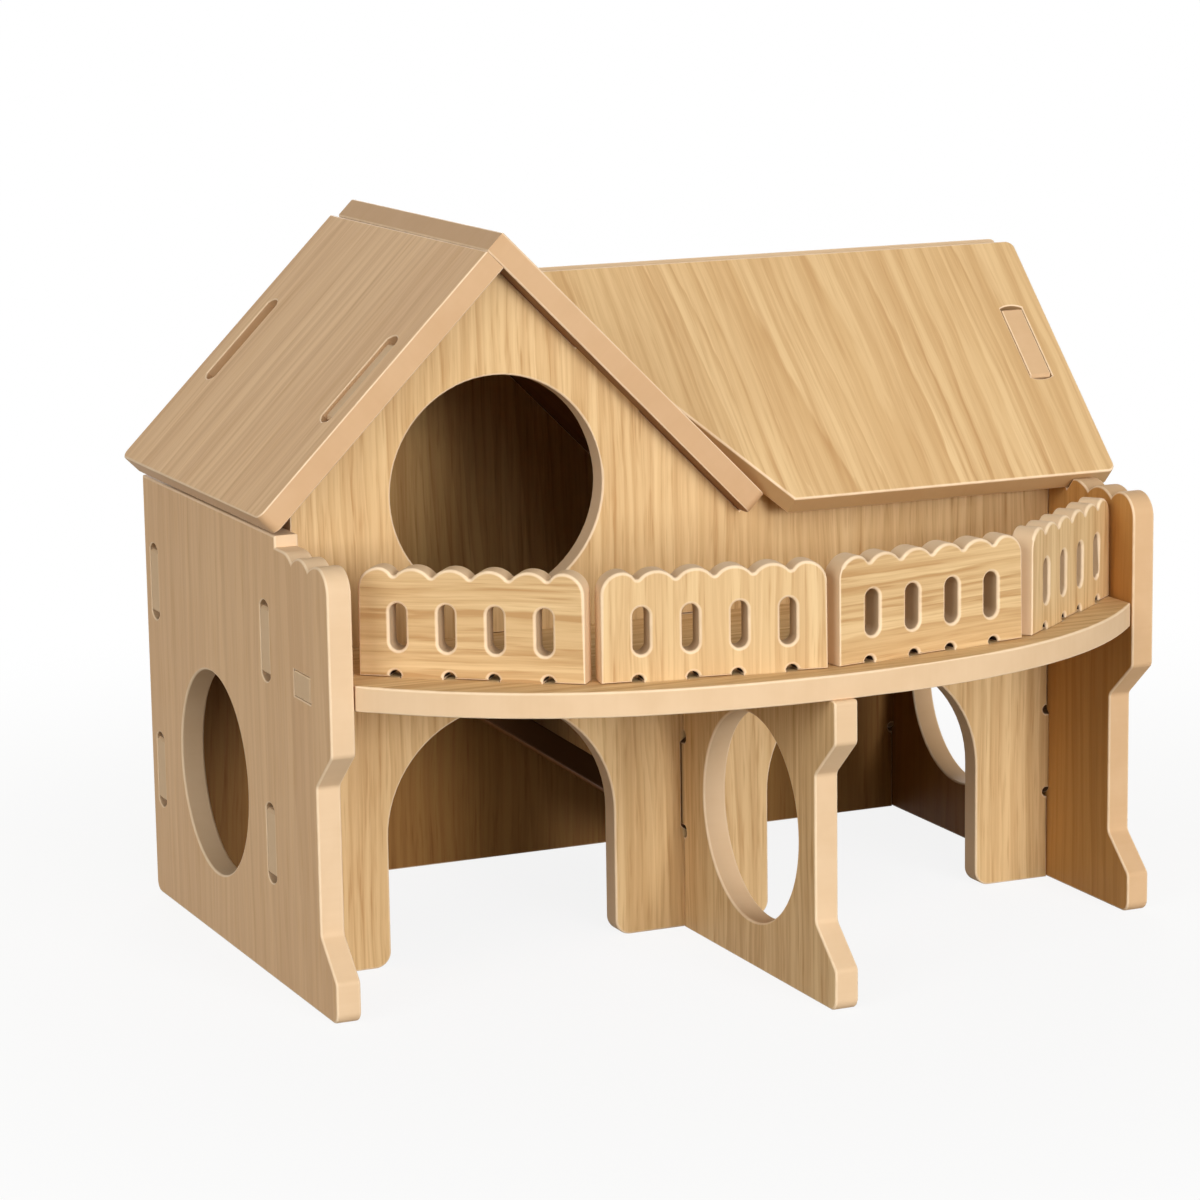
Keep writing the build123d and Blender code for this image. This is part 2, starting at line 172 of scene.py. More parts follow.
class Outline:
    """One face of a board and the closed paths round it, outside and in its holes.

    Every array has one row for each corner of the paths, and edge i runs from corner i to corner
    after[i] with the wood on its left. miter is the way in along the face that moves both edges by
    one unit, and down is the way along the edge wall that goes one unit through the board."""

    def __init__(self, node):
        points, corners = merged_triangles(node)
        normals, areas = triangle_normals(points, corners)
        self.normal = board_normal(normals, areas)
        facing = normals @ self.normal
        top = facing > FLAT
        count = len(points)
        self.faces = corners[top]
        start = self.faces.ravel()
        end = np.roll(self.faces, -1, axis=1).ravel()
        keys = edge_keys(start, end, count)
        open_edge = ~np.isin(keys, edge_keys(end, start, count))
        start, end = start[open_edge], end[open_edge]
        order = np.argsort(start)
        start, end = start[order], end[order]
        if np.any(np.diff(start) == 0):
            raise RuntimeError(f"two outlines of {node.name} touch at a corner")
        place = np.full(count, -1)
        place[start] = np.arange(len(start))
        if np.any(place[self.faces] < 0):
            raise RuntimeError(f"the face of {node.name} has a corner inside it")
        self.after = place[end]
        self.before = np.empty_like(self.after)
        self.before[self.after] = np.arange(len(start))
        self.points = points[start]
        self.faces = place[self.faces]
        offsets = points @ self.normal
        self.thickness = offsets.max() - offsets.min()

        wall_corners = corners[~top]
        wall_normals = normals[~top]
        wall_ends = np.roll(wall_corners, -1, axis=1)
        wall_keys = edge_keys(wall_corners.ravel(), wall_ends.ravel(), count)
        wall_face = np.repeat(np.arange(len(wall_corners)), 3)
        sorting = np.argsort(wall_keys)
        found = np.searchsorted(wall_keys[sorting], edge_keys(end, start, count))
        self.wall = wall_normals[wall_face[sorting[found]]]

        along = unit(self.points[self.after] - self.points)
        inward = np.cross(self.normal, along)
        lean = (self.wall @ self.normal) / np.einsum("ij,ij->i", self.wall, inward)
        turn = np.einsum("ij,ij->i", inward[self.before], inward)
        total = np.maximum(1 + turn, SHARPEST_MITER)
        self.miter = (inward[self.before] + inward) / total[:, None]
        free = np.maximum(1 - turn**2, 1e-9)
        first = (lean[self.before] - turn * lean) / free
        second = (lean - turn * lean[self.before]) / free
        straight = (turn > STRAIGHT)[:, None]
        crossing = first[:, None] * inward[self.before] + second[:, None] * inward
        even = ((lean[self.before] + lean) / 2)[:, None] * self.miter
        self.down = np.where(straight, even, crossing) - self.normal
        self.soft_turn = turn > SMOOTH_TURN

    def relief_corners(self, radius):
        """True at corners of hollow arcs up to a radius.

        Two corners in a row turn right there, by the edge length over the radius or more."""
        along = self.points[self.after] - self.points
        length = np.linalg.norm(along, axis=1)
        along /= length[:, None]
        bend = np.cross(along[self.before], along) @ self.normal
        hollow = (bend < -LEAST_BEND) & (np.minimum(length, length[self.before]) < -radius * bend)
        return hollow & (hollow[self.before] | hollow[self.after])

    def loop_sizes(self):
        """How far each corner's own closed path reaches.

        Jumps along the path that double each time spread its lowest corner number."""
        label, jump = np.arange(len(self.after)), self.after
        for _ in range(int(math.ceil(math.log2(len(label)))) + 1):
            label = np.minimum(label, label[jump])
            jump = jump[jump]
        names, group = np.unique(label, return_inverse=True)
        low = np.full((len(names), 3), np.inf)
        high = np.full((len(names), 3), -np.inf)
        np.minimum.at(low, group, self.points)
        np.maximum.at(high, group, self.points)
        return np.linalg.norm(high - low, axis=1)[group]


OUTLINES = {name: Outline(NODES[name]) for name in BOARD_ORDER}


def middle_of(name):
    """The middle of the box round a board's outline."""
    points = OUTLINES[name].points
    return (points.min(0) + points.max(0)) / 2


HOUSE_MIDDLE = (middle_of("front_wall") + middle_of("back_wall")) / 2
FRONT_WALL_BACK = OUTLINES["front_wall"].points[:, 1].max()
UPPER_FLOOR = OUTLINES["upper_floor"]
UPPER_FLOOR_UNDERSIDE = UPPER_FLOOR.points[:, 2].max() - UPPER_FLOOR.thickness


def touches_another(name, points, reach):
    """True for points between another board's two faces and inside its box in its own plane."""
    inside = np.zeros(len(points), bool)
    for other in BOARD_ORDER:
        outline = OUTLINES[other]
        if other == name:
            continue
        height = points @ outline.normal
        top = outline.points @ outline.normal
        between = (height < top.max() + reach) & (height > top.max() - outline.thickness - reach)
        side = unit(np.cross(outline.normal, ASLANT))
        across = np.stack((side, np.cross(outline.normal, side)))
        flat, edges = points @ across.T, outline.points @ across.T
        within = np.all((flat > edges.min(0) - reach) & (flat < edges.max(0) + reach), axis=1)
        inside |= between & within
    return inside


def finished_board(
    name, grain, radius, tight_radius, tight_loop, shift, walled, inside, slot_shade
):
    """A board with rounded arrises.

    A quarter-circle profile is carried round every path of the board's outline. For the angle a
    from 0 to a quarter turn, a point is the corner, plus radius (1 - sin a) times miter, plus
    radius (1 - cos a) times down. The same profile is mirrored at the other face. The flat faces
    keep the board's own triangles, drawn in by the radius. Paths of slots and tabs get the tight
    radius, so that joints stay closed."""
    outline = OUTLINES[name]
    count = len(outline.points)
    reach = outline.loop_sizes()
    slots = reach < tight_loop
    outer = reach == reach.max()
    reliefs = outline.relief_corners(LARGEST_RELIEF) & outer
    reliefs &= touches_another(name, outline.points, RELIEF_REACH)
    # Painted shade: reliefs take all of it, and slots, windows and round holes take a share
    openings = np.where(reach < WINDOW_REACH, WINDOW_SHADE, HOLE_SHADE)
    openings = np.where(outer, 0.0, openings)
    scorch = np.where(reliefs, 1.0, np.where(slots, slot_shade, openings))
    tight = slots | touches_another(name, outline.points, JOINT_REACH)
    size = np.where(tight, tight_radius, radius)[:, None]
    angle = np.linspace(0, math.pi / 2, ARRIS_STEPS + 1)
    sine, cosine = np.sin(angle), np.cos(angle)
    draw_in = (1 - sine)[:, None, None] * (size * outline.miter)
    depth = (1 - cosine)[:, None, None] * (size * outline.down)
    upper = outline.points + draw_in + depth
    foot = outline.points + outline.thickness * outline.down
    lower = (foot + draw_in - depth)[::-1]
    rows = np.concatenate((upper, lower))
    steps = len(rows)
    points = rows.reshape(-1, 3)

    row = (np.arange(steps - 1) * count)[:, None]
    here, ahead = np.arange(count), outline.after
    below = row + count
    quads = np.stack((row + here, below + here, below + ahead, row + ahead), axis=-1)
    quads = quads.reshape(-1, 4)
    last = (steps - 1) * count
    caps = np.concatenate((outline.faces, outline.faces[:, ::-1] + last))

    tilt = np.concatenate((angle, math.pi - angle[::-1]))
    wall = outline.wall
    leant = unit(wall - (wall @ outline.normal)[:, None] * outline.normal)
    start_wall = np.where(outline.soft_turn[:, None], unit(leant + leant[outline.before]), leant)
    end_soft = outline.soft_turn[outline.after][:, None]
    end_wall = np.where(end_soft, unit(leant + leant[outline.after]), leant)

    def row_normals(side):
        """cos a times the face normal plus sin a times the wall normal, for every row."""
        return np.cos(tilt)[:, None, None] * outline.normal + np.sin(tilt)[:, None, None] * side

    starts, ends = row_normals(start_wall), row_normals(end_wall)
    quad_normals = np.stack((starts[:-1], starts[1:], ends[1:], ends[:-1]), axis=2).reshape(-1, 3)
    both_ways = np.stack((outline.normal, -outline.normal))
    cap_normals = np.repeat(both_ways, len(outline.faces) * 3, axis=0)

    rim = np.concatenate((angle, angle[::-1])) / (math.pi / 2)
    rim = np.repeat(rim, count)

    loops = np.concatenate((quads.ravel(), caps.ravel())).astype(np.int32)
    sizes = np.concatenate((np.full(len(quads), 4), np.full(len(caps), 3)))
    starts_at = np.concatenate(([0], np.cumsum(sizes)[:-1])).astype(np.int32)
    mesh = bpy.data.meshes.new(name + "_board")
    mesh.vertices.add(len(points))
    mesh.vertices.foreach_set("co", points.astype(np.float32).ravel())
    mesh.loops.add(len(loops))
    mesh.loops.foreach_set("vertex_index", loops)
    mesh.polygons.add(len(sizes))
    mesh.polygons.foreach_set("loop_start", starts_at)
    mesh.update(calc_edges=True)

    length_way = unit(np.asarray(grain) - (np.asarray(grain) @ outline.normal) * outline.normal)
    width_way = np.cross(length_way, outline.normal)
    flat = np.stack((points @ width_way, points @ length_way), axis=1) + np.asarray(shift)
    layer = mesh.uv_layers.new(name="grain")
    layer.data.foreach_set("uv", flat[loops].astype(np.float32).ravel())
    # The faces inside the house, marked for painted shade in the material
    board_middle = outline.points.mean(0) @ outline.normal - outline.thickness / 2
    toward_middle = HOUSE_MIDDLE @ outline.normal - board_middle
    sides = (toward_middle > 0, toward_middle < 0) if walled else (inside, inside)
    inner = np.repeat(sides, steps // 2 * count)
    for label, values in (("rim", rim), ("scorch", np.tile(scorch, steps)), ("inner", inner)):
        attribute = mesh.attributes.new(label, "FLOAT", "POINT")
        attribute.data.foreach_set("value", values.astype(np.float32))
    mesh.validate()
    mesh.polygons.foreach_set("use_smooth", np.ones(len(mesh.polygons), bool))
    mesh.normals_split_custom_set(np.concatenate((quad_normals, cap_normals)).tolist())

    board = bpy.data.objects.new(name + "_finished", mesh)
    bpy.context.scene.collection.objects.link(board)
    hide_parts(name)
    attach(board, BODY_OF[name])
    return board


def place_board(
    name,
    grain,
    material,
    radius=None,
    slotted=True,
    walled=True,
    inside=False,
    slot_shade=SLOT_SHADE,
):
    """Makes one finished board, with its own stretch of veneer, and gives it its material.

    A walled board closes the house, so one of its faces lies inside. An inside board lies there
    with both. Faces inside take painted shade in the material."""
    sizes = bpy.context.scene.hamster_house_boards
    number = BOARD_ORDER.index(name) + 1
    shift = (VENEER_STEP[0] * number, VENEER_STEP[1] * number % VENEER_LENGTH)
    board = finished_board(
        name,
        grain,
        sizes.arris_radius if radius is None else radius,
        sizes.joint_arris_radius,
        sizes.slot_reach if slotted else 0.0,
        shift,
        walled,
        inside,
        slot_shade,
    )
    board.data.materials.append(material)
    return board


# Shader groups

# Noise for the grain: cycles per metre across it and along it
DRIFT = (48.0, 14.0, 1.0)
FIGURE = (34.0, 3.4, 1.0)
JAGS = (420.0, 48.0, 1.0)
PATCHES = (150.0, 17.0, 1.0)
STREAKS = (520.0, 11.0, 1.0)
FIBRES = (1300.0, 62.0, 1.0)
CUT_FIBRES = (900.0, 900.0, 1.0)

# Plain noise in cycles per metre: the breaks in the painted highlight on the arrises and the clouds
# on the cut edges
ARRIS_HIGHLIGHT_BREAKS = 260.0
CUT_CLOUDS = 90.0

# The cut edge's darker colour as shares of red, green and blue, and the strength of the painted
# highlight on an arris
CUT_SHADE = (0.9, 0.86, 0.8)
ARRIS_HIGHLIGHT_SHARE = 0.85

# How far the rings wander, and the steps in the noise that picks each ring's tone
WAVINESS = 0.004
RING_STEP = 7.31
RING_DRIFT = 9.0

# How softly the painted shade of the lower storey begins at the front wall and at the upper floor
WALL_FADE = 0.5 * MM
FLOOR_FADE = 2 * MM

BUMP_STRENGTH = 0.35
BUMP_DEPTH = 0.00006


def new_group(name, inputs, outputs):
    """An empty shader group. inputs are (name, socket type, default) rows, outputs are names."""
    group = bpy.data.node_groups.new(name, "ShaderNodeTree")
    for label, kind, default in inputs:
        socket = group.interface.new_socket(name=label, in_out="INPUT", socket_type=kind)
        if default is not None:
            socket.default_value = default
    for label in outputs:
        group.interface.new_socket(name=label, in_out="OUTPUT", socket_type="NodeSocketFloat")
    return group, group.nodes.new("NodeGroupInput"), group.nodes.new("NodeGroupOutput")


def put(tree, target, value):
    """Links a socket, or sets a plain value on the target socket."""
    if isinstance(value, bpy.types.NodeSocket):
        tree.links.new(value, target)
    elif value is not None:
        target.default_value = value


def maths(tree, operation, first, second=None, clamp=False):
    node = tree.nodes.new("ShaderNodeMath")
    node.operation = operation
    node.use_clamp = clamp
    put(tree, node.inputs[0], first)
    put(tree, node.inputs[1], second)
    return node.outputs[0]


def stretch(tree, vector, scale):
    """The vector times a scale for each of its parts."""
    node = tree.nodes.new("ShaderNodeVectorMath")
    node.operation = "MULTIPLY"
    put(tree, node.inputs[0], vector)
    put(tree, node.inputs[1], scale)
    return node.outputs[0]


def noise(tree, vector, scale, detail, roughness):
    node = tree.nodes.new("ShaderNodeTexNoise")
    node.inputs["Scale"].default_value = scale
    node.inputs["Detail"].default_value = detail
    node.inputs["Roughness"].default_value = roughness
    put(tree, node.inputs["Vector"], vector)
    return node.outputs[0]


def grain_noise(tree, vector, scale, detail, roughness):
    """Noise with its own scale across the grain and along it."""
    return noise(tree, stretch(tree, vector, scale), 1.0, detail, roughness)


def spread(tree, value, low, high):
    """The value moved so that low becomes 0 and high becomes 1, and held between them."""
    node = tree.nodes.new("ShaderNodeMapRange")
    node.interpolation_type = "SMOOTHSTEP"
    put(tree, node.inputs["Value"], value)
    node.inputs["From Min"].default_value = low
    node.inputs["From Max"].default_value = high
    return node.outputs["Result"]


def mix_colour(tree, share, first, second, blend="MIX"):
    node = tree.nodes.new("ShaderNodeMix")
    node.data_type = "RGBA"
    node.blend_type = blend
    node.clamp_factor = True
    put(tree, node.inputs[0], share)
    put(tree, node.inputs[6], first)
    put(tree, node.inputs[7], second)
    return node.outputs[2]


def growth_rings(tree, rings, along):
    """Rings side by side across the grain, from a ring number that grows across it.

    The whole part of the number picks each ring's own tone. Its fraction darkens the ring slowly up
    to one sharp side, with a thin late line at that side."""
    join = tree.nodes.new("ShaderNodeCombineXYZ")
    tree.links.new(maths(tree, "MULTIPLY", maths(tree, "FLOOR", rings), RING_STEP), join.inputs[0])
    tree.links.new(maths(tree, "MULTIPLY", along, RING_DRIFT), join.inputs[1])
    tone = spread(tree, noise(tree, join.outputs[0], 1.0, 1.0, 0.5), 0.34, 0.66)
    part = maths(tree, "FRACT", rings)
    edge = spread(tree, part, 1.0, 0.92)
    body = maths(tree, "MULTIPLY", spread(tree, part, 0.15, 0.92), edge)
    line = maths(tree, "MULTIPLY", spread(tree, part, 0.66, 0.94), edge)
    return tone, body, line


def blend_values(tree, *rows):
    """The sum of values, each times its own share."""
    total = None
    for value, share in rows:
        scaled = maths(tree, "MULTIPLY", value, share)
        total = scaled if total is None else maths(tree, "ADD", total, scaled)
    return total


def from_middle(tree, value):
    """Noise moved to lie about zero."""
    return maths(tree, "SUBTRACT", value, 0.5)


def wood_grain_group():
    """Long veneer stripes. Vector is metres across the grain, then metres along it.

    The ring number is rings per metre times the drifting place across, plus a slow noise times the
    figure. Where that noise climbs faster than the rings do, the stripes close into long lenses."""
    group, entry, leave = new_group(
        "wood_grain",
        [
            ("Vector", "NodeSocketVector", None),
            ("Waviness", "NodeSocketFloat", WAVINESS),
            ("Rings", "NodeSocketFloat", 300.0),
            ("Figure", "NodeSocketFloat", 12.0),
        ],
        ["Stripes", "Lines", "Streaks", "Fibres", "Relief"],
    )
    vector = entry.outputs["Vector"]
    drift = from_middle(group, grain_noise(group, vector, DRIFT, 2.0, 0.5))
    parts = group.nodes.new("ShaderNodeSeparateXYZ")
    group.links.new(vector, parts.inputs[0])
    wander = maths(group, "MULTIPLY", drift, entry.outputs["Waviness"])
    across = maths(group, "ADD", parts.outputs[0], wander)
    along = parts.outputs[1]
    join = group.nodes.new("ShaderNodeCombineXYZ")
    group.links.new(across, join.inputs[0])
    group.links.new(along, join.inputs[1])
    wavy = join.outputs[0]
    slow = from_middle(group, grain_noise(group, wavy, FIGURE, 1.5, 0.45))
    jagged = from_middle(group, grain_noise(group, wavy, JAGS, 2.0, 0.6))
    rings = maths(group, "MULTIPLY", across, entry.outputs["Rings"])
    rings = maths(group, "ADD", rings, maths(group, "MULTIPLY", slow, entry.outputs["Figure"]))
    rings = maths(group, "ADD", rings, maths(group, "MULTIPLY", jagged, 0.5))
    tone, body, line = growth_rings(group, rings, along)
    stripes = blend_values(group, (tone, 0.6), (body, 0.4))
    shown = spread(group, grain_noise(group, wavy, PATCHES, 2.0, 0.5), 0.4, 0.6)
    lines = maths(group, "MULTIPLY", line, shown)
    streaks = spread(group, grain_noise(group, wavy, STREAKS, 5.0, 0.64), 0.4, 0.66)
    fibres = spread(group, grain_noise(group, wavy, FIBRES, 2.0, 0.6), 0.5, 0.74)
    relief = blend_values(group, (streaks, -0.5), (fibres, -0.5))
    for label, value in (
        ("Stripes", stripes),
        ("Lines", lines),
        ("Streaks", streaks),
        ("Fibres", fibres),
        ("Relief", relief),
    ):
        group.links.new(value, leave.inputs[label])
    return group


def cut_edge_and_highlight_group():
    """Masks for the painted highlight on the arris and for the cut edge, from a rim that is 0 on
    the faces and 1 on the edge.
    """
    group, entry, leave = new_group(
        "edge_wear",
        [("Rim", "NodeSocketFloat", 0.0), ("Vector", "NodeSocketVector", None)],
        ["Arris", "Cut"],
    )
    rim = entry.outputs["Rim"]
    hump = maths(group, "MULTIPLY", rim, maths(group, "SUBTRACT", 1.0, rim))
    hump = maths(group, "MULTIPLY", hump, 4.0)
    # The arris mask carries a painted highlight, broken up by noise
    rough = spread(group, noise(group, entry.outputs["Vector"], ARRIS_HIGHLIGHT_BREAKS, 2.0, 0.6), 0.25, 0.7)
    arris_highlight = maths(group, "ADD", maths(group, "MULTIPLY", rough, 0.3), 0.7)
    arris = maths(group, "MULTIPLY", hump, arris_highlight, clamp=True)
    group.links.new(arris, leave.inputs["Arris"])
    group.links.new(spread(group, rim, 0.25, 0.85), leave.inputs["Cut"])
    return group


GROUPS = {}


def shared_group(name):
    """Each shader group is built once."""
    if name not in GROUPS:
        GROUPS[name] = {"wood_grain": wood_grain_group, "edge_wear": cut_edge_and_highlight_group}[name]()
    return GROUPS[name]


def place_group(tree, name, **values):
    node = tree.nodes.new("ShaderNodeGroup")
    node.node_tree = shared_group(name)
    for label, value in values.items():
        put(tree, node.inputs[label], value)
    return node.outputs


def lower_storey(tree, place):
    """1 behind the front wall and below the upper floor, 0 elsewhere: where inner faces take more
    painted shade.
    """
    parts = tree.nodes.new("ShaderNodeSeparateXYZ")
    tree.links.new(place, parts.inputs[0])
    behind = spread(tree, parts.outputs[1], FRONT_WALL_BACK - WALL_FADE, FRONT_WALL_BACK)
    ceiling = UPPER_FLOOR_UNDERSIDE
    below = spread(tree, parts.outputs[2], ceiling + FLOOR_FADE, ceiling)
    return maths(tree, "MULTIPLY", behind, below)


def point_value(tree, name):
    """One of the values that finished_board keeps at every point."""
    node = tree.nodes.new("ShaderNodeAttribute")
    node.attribute_name = name
    return node.outputs["Fac"]


def veneer_material(
    name, pale, mid, deep, cut, arris_highlight, recess_shade, inner_shade, lower_storey_shade, rings, strength, gloss
):
    """Veneer with pale and deep stripes and smooth cut edges, painted highlights on the arrises,
    and painted shade in slots, reliefs, windows and on inner faces.

    rings holds the rings per metre and their figure, strength the share of the stripes, lines,
    streaks and fibres, and gloss the strength of the reflection."""
    material = bpy.data.materials.new(name)
    material.use_nodes = True
    tree = material.node_tree
    tree.nodes.clear()
    shader = tree.nodes.new("ShaderNodeBsdfPrincipled")
    out = tree.nodes.new("ShaderNodeOutputMaterial")
    tree.links.new(shader.outputs[0], out.inputs["Surface"])
    map_node = tree.nodes.new("ShaderNodeUVMap")
    map_node.uv_map = "grain"
    place = tree.nodes.new("ShaderNodeTexCoord").outputs["Object"]
    flat = map_node.outputs[0]
    rim, scorch, inner = (point_value(tree, label) for label in ("rim", "scorch", "inner"))

    grain = place_group(
        tree, "wood_grain", Vector=flat, Waviness=WAVINESS, Rings=rings[0], Figure=rings[1]
    )
    edge_masks = place_group(tree, "edge_wear", Rim=rim, Vector=place)

    face = mix_colour(tree, maths(tree, "MULTIPLY", grain["Stripes"], strength[0]), pale, mid)
    marks = [grain[label] for label in ("Lines", "Streaks", "Fibres")]
    face = mix_colour(tree, blend_values(tree, *zip(marks, strength[1:])), face, deep)
    # Painted shade: faces inside the house are darkened
    shade = mix_colour(tree, inner, WHITE, inner_shade)
    face = mix_colour(tree, 1.0, face, shade, "MULTIPLY")
    # Painted shade: inner faces of the lower storey are darkened again
    lower = maths(tree, "MULTIPLY", inner, lower_storey(tree, place))
    face = mix_colour(tree, lower, face, mix_colour(tree, 1.0, face, lower_storey_shade, "MULTIPLY"))

    cloud = spread(tree, noise(tree, place, CUT_CLOUDS, 3.0, 0.6), 0.3, 0.7)
    fibre = grain_noise(tree, flat, CUT_FIBRES, 2.0, 0.6)
    cut_deep = tuple(c * f for c, f in zip(cut[:3], CUT_SHADE)) + (1.0,)
    side = mix_colour(tree, blend_values(tree, (cloud, 0.5), (fibre, 0.3)), cut, cut_deep)
    # Painted shade on the walls of slots, reliefs, windows and holes
    side = mix_colour(tree, scorch, side, recess_shade)
    colour = mix_colour(tree, edge_masks["Cut"], face, side)
    # Painted highlight along the rounded arrises
    colour = mix_colour(tree, maths(tree, "MULTIPLY", edge_masks["Arris"], ARRIS_HIGHLIGHT_SHARE), colour, arris_highlight)
    tree.links.new(colour, shader.inputs["Base Color"])

    rough = blend_values(tree, (grain["Fibres"], 0.1), (edge_masks["Cut"], 0.12))
    tree.links.new(maths(tree, "ADD", rough, 0.5), shader.inputs["Roughness"])
    shader.inputs["Specular IOR Level"].default_value = gloss
    bump = tree.nodes.new("ShaderNodeBump")
    bump.inputs["Strength"].default_value = BUMP_STRENGTH
    bump.inputs["Distance"].default_value = BUMP_DEPTH
    face_only = maths(tree, "MULTIPLY", grain["Relief"], maths(tree, "SUBTRACT", 1.0, edge_masks["Cut"]))
    tree.links.new(face_only, bump.inputs["Height"])
    tree.links.new(bump.outputs[0], shader.inputs["Normal"])
    return material


# The settings that each veneer takes: its tone, its edge, the painted highlight on its arrises and
# the painted shade on its inner faces
VENEER_COLOURS = {
    "wall_veneer": ("wall_tone", "cut_edge", "arris_highlight", "inner_shade"),
    "left_panel_veneer": ("left_panel_tone", "cut_edge", "arris_highlight", "inner_shade"),
    # Painted shade: a darker, warmer tint for the right panel's shaded inner face
    "right_panel_veneer": ("right_panel_shade", "right_panel_edge", "arris_highlight", "inner_shade"),
    # Painted shade on the upper floor and the ramp, and on the ramp's edges and arrises
    "inside_veneer": ("inside_shade", "cut_edge", "arris_highlight", "inner_shade"),
    "ramp_veneer": ("inside_shade", "ramp_shaded_edge", "ramp_shaded_edge", "inner_shade"),
    # Painted shade under the roof boards
    "gable_roof_veneer": ("gable_roof_tone", "gable_roof_edge", "arris_highlight", "under_roof_shade"),
    # The front main roof board's edge colour, darkened as painted shade
    "main_roof_veneer": ("main_roof_tone", "main_roof_shaded_edge", "arris_highlight", "under_roof_shade"),
    "back_roof_veneer": ("main_roof_tone", "cut_edge", "arris_highlight", "under_roof_shade"),
    "bold_railing_veneer": ("railing_tone", "cut_edge", "arris_highlight", "inner_shade"),
    "plain_railing_veneer": ("railing_tone", "cut_edge", "arris_highlight", "inner_shade"),
}

# Rings per metre and their figure, shares of stripes, lines, streaks and fibres, and the gloss
VENEER_GRAIN = {
    "wall_veneer": ((400.0, 11.0), (0.8, 0.35, 0.6, 0.55), 0.16),
    "left_panel_veneer": ((130.0, 5.0), (0.6, 0.1, 0.3, 0.1), 0.35),
    "right_panel_veneer": ((230.0, 8.0), (0.7, 0.2, 0.4, 0.15), 0.1),
    "inside_veneer": ((300.0, 10.0), (0.8, 0.3, 0.5, 0.3), 0.1),
    "ramp_veneer": ((300.0, 10.0), (0.8, 0.3, 0.5, 0.3), 0.1),
    "gable_roof_veneer": ((150.0, 6.0), (0.8, 0.2, 0.45, 0.1), 0.35),
    "main_roof_veneer": ((170.0, 8.0), (1.0, 0.5, 0.55, 0.25), 0.3),
    "back_roof_veneer": ((170.0, 8.0), (1.0, 0.5, 0.55, 0.25), 0.3),
    "bold_railing_veneer": ((300.0, 8.0), (0.8, 0.8, 0.8, 0.5), 0.25),
    "plain_railing_veneer": ((330.0, 10.0), (0.7, 0.35, 0.55, 0.5), 0.25),
}
MATERIALS = {}


def tinted(colour, tone):
    """A colour with each of its parts times the tone's."""
    return tuple(a * b for a, b in zip(colour[:3], tone[:3])) + (1.0,)


def veneer(name):
    """The named veneer, made once from the colours in the panel."""
    if name not in MATERIALS:
        tones = bpy.context.scene.hamster_house_veneer
        tone, edge, arris, inner = (getattr(tones, key) for key in VENEER_COLOURS[name])
        stripes = [tinted(one, tone) for one in (tones.pale, tones.mid, tones.deep)]
        others = (edge, arris, tones.recess_shade, inner, tones.lower_storey_shade)
        others = [tinted(one, WHITE) for one in others]
        MATERIALS[name] = veneer_material(name, *stripes, *others, *VENEER_GRAIN[name])
    return MATERIALS[name]


# Settings


def linear(red, green, blue):
    """Screen colour numbers, 0 to 255, as linear light."""
    share = np.array((red, green, blue)) / 255
    light = np.where(share < 0.04045, share / 12.92, ((share + 0.055) / 1.055) ** 2.4)
    return tuple(light.tolist()) + (1.0,)


def colour_setting(name, description, default, top=1):
    """A colour whose parts go from 0 to top."""
    return bpy.props.FloatVectorProperty(
        name=name,
        description=description,
        size=4,
        subtype="COLOR",
        min=0,
        max=top,
        default=default,
    )


def radius_setting(name, description, default, low, high):
    """A small radius between low and high."""
    return bpy.props.FloatProperty(
        name=name,
        description=description,
        default=default,
        min=low,
        max=high,
        precision=5,
        unit="LENGTH",
        subtype="DISTANCE",
    )


def power_setting(name, description, default):
    """A lamp's power."""
    return bpy.props.FloatProperty(
        name=name, description=description, default=default, min=0, max=400, unit="POWER"
    )


class HamsterHouseBoards(bpy.types.PropertyGroup):
    """Sizes that every board shares."""

    arris_radius: radius_setting(
        "Arris radius",
        "Rounding along the boards' outlines and round openings",
        0.45 * MM,
        0.05 * MM,
        1.0 * MM,
    )
    joint_arris_radius: radius_setting(
        "Joint arris radius", "Rounding where tabs and slots meet", 0.28 * MM, 0.02 * MM, 0.5 * MM
    )
    railing_arris_radius: radius_setting(
        "Railing arris radius",
        "Rounding along the railings' outlines and windows",
        0.6 * MM,
        0.05 * MM,
        1.0 * MM,
    )
    slot_reach: bpy.props.FloatProperty(
        name="Longest slot",
        description="Openings shorter than this count as slots",
        default=26 * MM,
        precision=4,
        unit="LENGTH",
        subtype="DISTANCE",
    )


